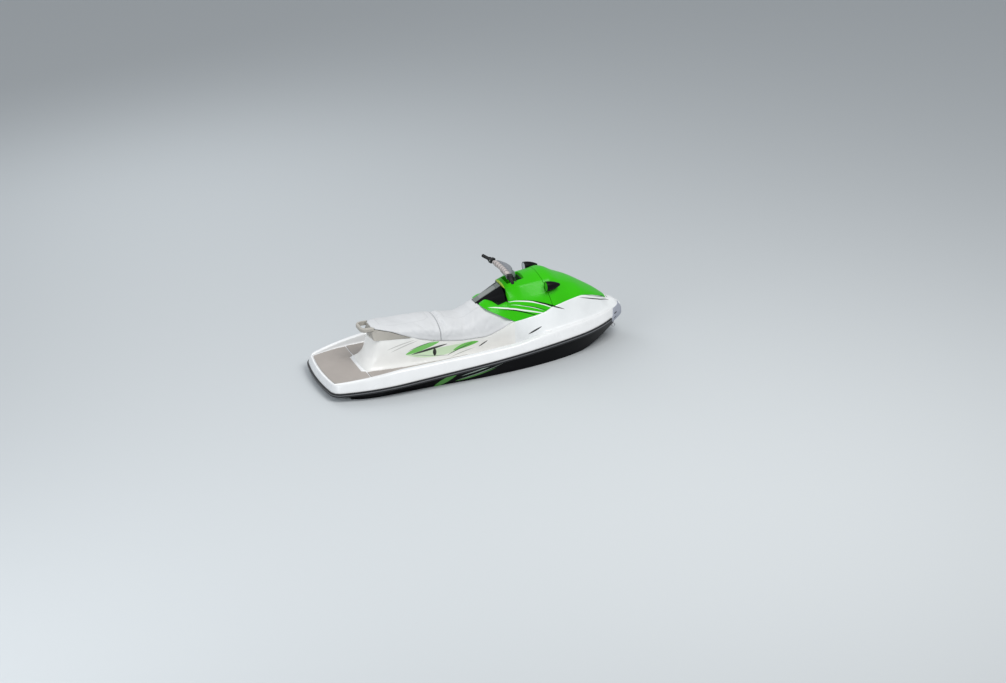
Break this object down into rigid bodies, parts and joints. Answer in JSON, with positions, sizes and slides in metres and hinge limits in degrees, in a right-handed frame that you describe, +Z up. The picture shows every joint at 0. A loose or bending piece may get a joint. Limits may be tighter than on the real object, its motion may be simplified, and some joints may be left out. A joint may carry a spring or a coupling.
{
  "type": "three-seat personal watercraft",
  "caption": "Sit-on personal watercraft with a jet pump, a hinged green hood, handlebar steering, a long grey seat, footwells and a rear platform.",
  "frame": {"origin": "on the still waterline, on the centreline, midway between the bow and the stern of the deck outline", "axes": "+X forward to the bow, +Y to port, +Z up"},
  "size_m": [3.2762, 1.17, 1.2133],
  "materials": {
    "hull_black": "gloss gelcoat",
    "deck_white": "gloss gelcoat",
    "cowl_green": "gloss gelcoat",
    "rail_black": "matt rubber",
    "bumper_grey": "satin rubber",
    "console_black": "satin moulded",
    "console_grey": "satin moulded",
    "plain_black": "matt moulded",
    "trim_grey": "satin moulded",
    "seat_vinyl": "soft vinyl",
    "pad_vinyl": "soft vinyl",
    "mat_foam": "ribbed foam",
    "grip_rubber": "ribbed rubber",
    "cast_alloy": "cast",
    "steel": "brushed",
    "engine_metal": "cast",
    "mirror": "silvered"
  },
  "bodies": {
    "root": {"hull": "hull_black", "deck": "deck_white", "pedestal": "deck_white", "fore_deck": "deck_white", "display": "plain_black", "rub_rail": "rail_black", "bow_bumper": "bumper_grey", "cowl_base": "cowl_green", "console": "console_black", "storage_bin": "plain_black", "front_seat": "seat_vinyl", "rear_seat": "seat_vinyl", "grab_handle": "trim_grey", "pump_housing": "cast_alloy", "stator": "cast_alloy", "ride_plate": "cast_alloy", "intake_grate": "cast_alloy", "engine_block": "engine_metal", "mat_rear": "mat_foam", "mat_port": "mat_foam", "mat_starboard": "mat_foam", "sponson_port": "plain_black", "sponson_starboard": "plain_black", "bow_eye": "steel", "stern_eye_port": "steel", "stern_eye_starboard": "steel", "drain_plugs": "plain_black"},
    "hood": {"hood": "cowl_green", "mirror_port": "console_black", "mirror_starboard": "console_black", "mirror_glass_port": "mirror", "mirror_glass_starboard": "mirror"},
    "steering": {"steering_column": "plain_black", "handlebar": "plain_black", "bar_pad": "pad_vinyl", "grip_port": "grip_rubber", "grip_starboard": "grip_rubber", "switch_pod_port": "plain_black", "switch_pod_starboard": "plain_black", "steering_shroud": "console_black", "throttle_lever": "plain_black"},
    "lid": {"glovebox_lid": "console_grey"},
    "nozzle": {"steering_nozzle": "cast_alloy"},
    "bucket": {"reverse_bucket": "cast_alloy"},
    "impeller": {"impeller": "steel"}
  },
  "joints": [
    {"name": "hood_hinge", "type": "hinge", "parent": "root", "child": "hood", "pos_m": [1.452, 0, 0.397], "axis": [0, 1, 0], "range_deg": [0, 50]},
    {"name": "steering", "type": "hinge", "parent": "root", "child": "steering", "pos_m": [0.43, 0, 0.745], "axis": [-0.5, 0, 0.866], "range_deg": [-20, 20]},
    {"name": "lid_hinge", "type": "hinge", "parent": "root", "child": "lid", "pos_m": [0.06687, 0, 0.63677], "axis": [0, -1, 0], "range_deg": [0, 80]},
    {"name": "nozzle_yaw", "type": "hinge", "parent": "root", "child": "nozzle", "pos_m": [-1.44, 0, -0.135], "axis": [0, 0, 1], "range_deg": [-20, 20]},
    {"name": "bucket_swing", "type": "hinge", "parent": "root", "child": "bucket", "pos_m": [-1.385, 0, -0.135], "axis": [0, -1, 0], "range_deg": [0, 60]},
    {"name": "impeller_spin", "type": "hinge", "parent": "root", "child": "impeller", "pos_m": [-1.2, 0, -0.135], "axis": [1, 0, 0], "continuous": true}
  ],
  "couplings": [
    {"joint": "nozzle_yaw", "follows": "steering", "ratio": -1}
  ]
}
